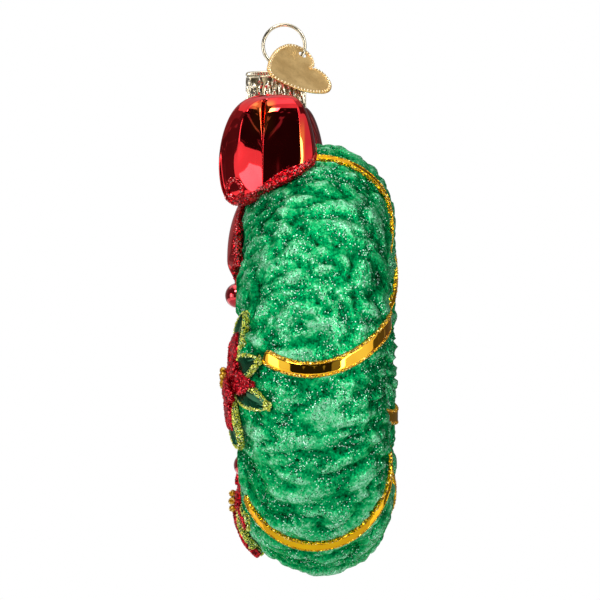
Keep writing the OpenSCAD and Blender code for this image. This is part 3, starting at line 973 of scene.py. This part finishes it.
def dress_flower(side, leaves, petals):
    seed = FLOWER_SEEDS[side]
    finish_piece(leaves, "glass", LEAF, f"leaves_{side}")
    strew_glitter(
        f"leaf_glitter_{side}", leaves, "leaf_lacquer", LIME_GRAINS,
        per_mm2=11, size=0.23, seed=seed, edge_above=0.68,
    )
    finish_piece(petals, "glass", PETAL, f"petals_{side}")
    strew_glitter(
        f"petal_glitter_{side}", petals, "petal_lacquer", RED_GRAINS, per_mm2=2.2, size=0.17, seed=seed + 4
    )
    stamens = frame["nodes"][f"stamens_{side}"]
    strew_glitter(
        f"stamen_glitter_{side}", stamens, "stamen_glitter", GOLD_GRAINS, per_mm2=9, size=0.15, seed=seed + 8
    )


def make_flowers():
    leaf = make_blade("leaf", length=10.6, width=5.6, base=3.6, low=0.45, rise=0.4, fold=0.4)
    petal = make_blade("petal", length=8.6, width=5.4, base=3.1, low=1.0, rise=0.5, fold=0.3)
    small = make_blade("small_petal", length=5.8, width=4.0, base=1.8, low=1.5, rise=0.5, fold=0.25)
    for side, theta in FLOWERS.items():
        reach = 1 if side == "right" else BOTTOM_REACH
        fan = [(turn, share * reach) for turn, share in LEAF_POINTS]
        leaves = lay_round(f"leaf_ring_{side}", leaf, theta, fan, 1.4)
        outer = lay_round(f"outer_petals_{side}", petal, theta, PETAL_POINTS, 1.4)
        inner = lay_round(f"inner_petals_{side}", small, theta, INNER_POINTS, 1.2)
        boss = make_boss(f"flower_boss_{side}", theta)
        petals = join([outer, inner, boss], f"petal_ring_{side}")
        if side == "right":
            dress_flower("left", mirrored(leaves, "leaf_ring_left"), mirrored(petals, "petal_ring_left"))
        dress_flower(side, leaves, petals)
    for blank in (leaf, petal, small):
        bpy.data.objects.remove(blank)


# The cap: a thin sheet cup with a beaded rim and stamped scrolls

CAP_BEADS = 64
CAP_PITCH = 30
CAP_SIDES = 256
CAP_ROW = 0.16
CAP_STAMP = 0.34
CAP_SHEET = 0.4


def bell(offset, width):
    """1 in the middle, fading to both sides."""
    return exp(-(offset / width) ** 2)


def cap_relief(turn, height):
    """Stamped relief of the cap's side, 0 low and 1 high, by degrees round it and millimetres up it."""
    top = CAP_TOP - CAP_BOTTOM
    beads = 0.5 + 0.5 * cos(radians(turn * CAP_BEADS))
    rim = bell(height - (top - 0.62), 0.22) * beads
    line = bell(height - (top - 1.2), 0.14)
    place = (turn % CAP_PITCH - CAP_PITCH / 2) / CAP_PITCH * 3.4
    lean = 0.35 if int(turn // CAP_PITCH) % 2 else -0.35
    rise = height - (top - 1.6) / 2
    across = place - lean * rise * 0.3
    oval = hypot(across / 0.62, rise / 1.75)
    ring = bell(oval - 1, 0.24)
    seed = bell(oval, 0.3)
    stem = bell(abs(place) - 1.45 - 0.16 * sin(rise * 2.6), 0.17)
    body = max(ring, seed, 0.9 * stem) if height < top - 1.3 else 0
    return min(1, max(rim, line * 0.7, body))


def make_cap():
    top = CAP_TOP - CAP_BOTTOM
    rings = []
    relief = {}

    def ring(radius, height, stamped=False):
        points = []
        for i in range(CAP_SIDES):
            turn = i * 360 / CAP_SIDES
            high = cap_relief(turn, height) if stamped else 0.5
            out = radius - (CAP_STAMP * (1 - high) if stamped else 0)
            angle = radians(turn)
            point = from_ring((out * cos(angle), NECK_Y + out * sin(angle), CAP_BOTTOM + height))
            relief[rounded(point)] = high
            points.append(point)
        rings.append(points)

    ring(CAP_RADIUS - CAP_SHEET, top - 0.6)
    ring(CAP_RADIUS - CAP_SHEET, 0)
    for row in range(int((top - 0.45) / CAP_ROW) + 1):
        ring(CAP_RADIUS, CAP_ROW * row, stamped=True)
    for inward, down in ((0.1, 0.28), (0.25, 0.1), (0.55, 0), (1.2, 0), (1.6, 0.12), (2.4, 0.12)):
        ring(CAP_RADIUS - inward, top - down)
    cap = loft("cap_stamped", rings)
    paint(cap, "relief", lambda point: relief[rounded(point)])
    for side in (-1, 1):
        drill(cap, 24, 0.56, 3, from_ring((0, NECK_Y + 1.6 * side, CAP_TOP)))
    shade(cap, 40)
    finish_piece(cap, "cap", CAP, "cap")


# The tag: a heart of sheet brass with a rope rim

TAG_FACING = Vector((0.5855, 0.4684, 0.6616))
TAG_ALONG = Vector((-0.7151, 0.6828, 0.1494))
TAG_HOLE = (0.95, 3.9)
# From the middle of a face to half the sheet's depth: margin inside the outline, and height
TAG_SECTION = [(1.05, 0.09), (0.8, 0.14), (0.06, 0.14), (0, 0.08)]
HEART_MIDDLE = -4
HEART_REACH = 6.6
ROPE_MARGIN = 0.44
ROPE_SPACING = 0.76
ROPE_SLANT = radians(62)
ROPE_LIFT = 0.14
STRAND_RADIUS = 0.3
STRAND_SHAPE = Matrix.Diagonal((1.35, 0.62, 0.9, 1))


def heart_half():
    lobe_x, lobe_y, lobe_radius = -0.9, 3.4, 3.95
    points = [(0.45, 0)]
    for step in range(13):
        angle = radians(-45 + 12 * step)
        points.append((lobe_x + lobe_radius * cos(angle), lobe_y + lobe_radius * sin(angle)))
    start, bulge, end = (-1.9, 7.22), (-6.6, 6.7), (-11.1, 1.8)
    for step in range(7):
        t = step / 6
        points.append(
            tuple(a * (1 - t) ** 2 + b * 2 * t * (1 - t) + c * t * t for a, b, c in zip(start, bulge, end))
        )
    return points + [(-11.6, 0.9), (-11.75, 0)]


def heart_outline(margin):
    """The heart shrunk by about a margin, from the tag's hole, in millimetres."""
    half = heart_half()
    whole = half + [(x, -y) for x, y in reversed(half[1:-1])]
    size = 1 - margin / HEART_REACH
    points = [(HEART_MIDDLE + (x - HEART_MIDDLE) * size, y * size) for x, y in whole]
    return [(x - TAG_HOLE[0], y - TAG_HOLE[1]) for x, y in points]


def make_tag():
    section = [(margin, -height) for margin, height in TAG_SECTION] + TAG_SECTION[::-1]
    rings = [[(x * MM, y * MM, h * MM) for x, y in heart_outline(margin)] for margin, h in section]
    tag = loft("tag_plate", rings)
    drill(tag, 32, 0.9, 4)
    shade(tag, 30)
    rope = make_rope()
    joint = next(j for j in frame["joints"] if j["name"] == "tag_swing")
    turn = Matrix((TAG_ALONG, TAG_FACING.cross(TAG_ALONG), TAG_FACING)).transposed().to_4x4()
    for piece in (tag, rope):
        piece.data.transform(Matrix.Translation(joint["pos_m"]) @ turn)
    finish_piece(tag, "tag", SHADED_TAG, "heart_tag")
    finish_piece(rope, "tag", LIT_TAG_ROPE)


def make_rope():
    """Slanted strands along the heart's rim, on both faces."""
    strand = add_ball("tag_strand", 8, 5, STRAND_RADIUS * MM)
    outline = [Vector((x, y, 0)) for x, y in heart_outline(ROPE_MARGIN)]
    copies = []
    carried = 0
    for a, b in zip(outline, outline[1:] + outline[:1]):
        length = (b - a).length
        spin = Matrix.Rotation(atan2(b.y - a.y, b.x - a.x) + ROPE_SLANT, 4, "Z")
        while carried < length:
            place = a + (b - a) * (carried / length)
            for face in (-1, 1):
                copy = copy_of(strand)
                lift = Matrix.Translation((place + Vector((0, 0, ROPE_LIFT * face))) * MM)
                copy.data.transform(lift @ spin @ STRAND_SHAPE)
                copies.append(copy)
            carried += ROPE_SPACING
        carried -= length
    bpy.data.objects.remove(strand)
    rope = join(copies, "tag_rope")
    shade(rope)
    return rope


def dress_cad_nodes():
    looks = {"glass_neck": GLASS, "berries": BERRY, "hanger_wire": WIRE}
    looks.update((f"stamens_{side}", GOLD_GRAINS) for side in FLOWER_SEEDS)
    for name, material in looks.items():
        frame["nodes"][name].material_slots[0].material = material


# Studio: a pale floor, soft lamps, cards that only mirrors show, and the camera

STUDIO_MIDDLE = -0.06
FLOOR_HEIGHT = -0.45
CARD_DISTANCE = 1.3
# Cards round the object: turn from +X where each starts and ends, lowest and highest rise, and tone
STUDIO_CARDS = [
    ("card_side", -31, 29, -0.6, 1.0, 0.02),
    ("card_right_near", 29, 43, -0.6, 1.5, 0.25),
    ("card_strip", 43, 49, -0.6, 0.9, 12),
    ("card_right", 49, 100, -0.6, 1.5, 1.0),
    ("card_back", 100, 150, -0.6, 0.7, 0.1),
    ("card_back_high", 95, 150, 0.7, 2.6, 0.55),
    ("card_far_side", 150, 185, -0.6, 0.7, 0.12),
    ("card_far_middle", 185, 224, -0.6, 0.7, 0.4),
    ("card_far_front", 224, 255, -0.6, 0.7, 0.2),
    ("card_front", 255, 285, -0.6, 1.5, 0.1),
    ("card_front_high", 285, 329, 0.2, 1.5, 0.05),
]
# Lamps: place and size in metres, power in watts, and whether mirrors show them
STUDIO_LAMPS = [
    ("key_lamp", (0.72, -0.26, 0.58), (0.24, 0.24), 3.3, True),
    ("front_lamp", (0.55, -0.85, 0.0), (0.3, 0.5), 1.9, True),
    ("right_lamp", (0.44, 0.63, 0.58), (0.3, 0.3), 1.5, True),
    ("top_lamp", (0.0, -0.1, 0.85), (0.7, 0.7), 2, True),
    ("back_lamp", (-0.8, 0.2, 0.5), (0.5, 0.6), 2, False),
    ("fill_lamp", (0.8, -0.1, -0.38), (0.3, 0.3), 3.4, False),
]


def seen_rays(tree):
    """1 for light that the camera, a mirror or clear glass shows, and 0 for the rest."""
    path = add_node(tree, "ShaderNodeLightPath").outputs
    total = path["Is Camera Ray"]
    for ray in ("Is Glossy Ray", "Is Transmission Ray"):
        total = add_node(tree, "ShaderNodeMath", {0: total, 1: path[ray]}, operation="ADD").outputs["Value"]
    return total


def make_floor():
    bpy.ops.mesh.primitive_plane_add(size=6, location=(0, 0, FLOOR_HEIGHT))
    floor = made("studio_floor")
    finish = Finish("studio_floor_white")
    finish.set(base_color=finish.mix(finish.noise(400, 2), (0.86,) * 3, (0.88,) * 3), roughness=0.9)
    power = finish.math("MULTIPLY", seen_rays(finish.tree), 0.75)
    glow = finish.node("ShaderNodeEmission", {"Strength": power}).outputs["Emission"]
    both = finish.node("ShaderNodeAddShader", {0: finish.shader.outputs["BSDF"], 1: glow})
    finish.surface(both.outputs["Shader"])
    floor.data.materials.append(finish.material)


def make_card(name, start, end, low, high, tone):
    bpy.ops.mesh.primitive_grid_add(x_subdivisions=12, y_subdivisions=1, size=2)
    card = made(name)
    for vertex in card.data.vertices:
        angle = radians((start + end) / 2 + (end - start) / 2 * vertex.co.x)
        height = CARD_DISTANCE * (low if vertex.co.y < 0 else high) + STUDIO_MIDDLE
        vertex.co = Vector((CARD_DISTANCE * cos(angle), CARD_DISTANCE * sin(angle), height))
    hang_card(card, tone)


def make_card_below():
    bpy.ops.mesh.primitive_circle_add(vertices=48, radius=0.5, fill_type="NGON", location=(0, 0, -0.4))
    card = made("card_below")
    bpy.ops.object.transform_apply()
    hang_card(card, 0.7)


def hang_card(card, tone):
    """Make a card of a cloudy tone glow, for mirrored light only."""
    finish = Finish(card.name + "_cloth")
    window = finish.between(finish.noise(160), 0.6, 0.64)
    colour = finish.mix(window, (tone,) * 3, (max(tone, 0.3),) * 3)
    finish.surface(finish.node("ShaderNodeEmission", {"Color": colour}).outputs["Emission"])
    card.data.materials.append(finish.material)
    for ray in ("camera", "diffuse", "shadow", "transmission"):
        setattr(card, f"visible_{ray}", False)


def add_lamp(name, place, size, power, mirrors_show):
    data = bpy.data.lights.new(name, "AREA")
    data.shape = "RECTANGLE"
    data.size, data.size_y = size
    data.energy = power
    lamp = add_object(name, data)
    lamp.location = place
    lamp.visible_glossy = mirrors_show
    aim = Vector((0, 0, STUDIO_MIDDLE)) - Vector(place)
    lamp.rotation_euler = aim.to_track_quat("-Z", "Y").to_euler()


def make_world():
    """White where it is seen or mirrored, and dimmer as a light."""
    world = bpy.data.worlds.new("studio_world")
    bpy.context.scene.world = world
    world.use_nodes = True
    tree = world.node_tree
    back = tree.nodes["Background"]
    sockets = {"Value": seen_rays(tree), "To Min": 0.24, "To Max": 1.0}
    strength = add_node(tree, "ShaderNodeMapRange", sockets).outputs["Result"]
    feed(tree, (1, 1, 1), back.inputs["Color"])
    feed(tree, strength, back.inputs["Strength"])


def make_camera():
    data = bpy.data.cameras.new("photo_camera")
    data.lens = LENS
    data.sensor_width = SENSOR
    data.clip_start = 0.01
    camera = add_object("photo_camera", data)
    away = Vector((sin(VIEW_TURN), -cos(VIEW_TURN), 0))
    camera.location = VIEW_MIDDLE + away * VIEW_DISTANCE
    camera.rotation_euler = (-away).to_track_quat("-Z", "Y").to_euler()
    bpy.context.scene.camera = camera


def make_studio():
    bpy.context.scene.view_settings.view_transform = "Standard"
    make_floor()
    make_card_below()
    for card in STUDIO_CARDS:
        make_card(*card)
    for lamp in STUDIO_LAMPS:
        add_lamp(*lamp)
    make_world()
    make_camera()


make_wreath()
for numbered in enumerate(RIBBON_WRAPS, 1):
    make_ribbon(*numbered)
make_bow_loops()
make_bow_knot()
make_bow_tails()
make_flowers()
make_cap()
make_tag()
dress_cad_nodes()
make_studio()
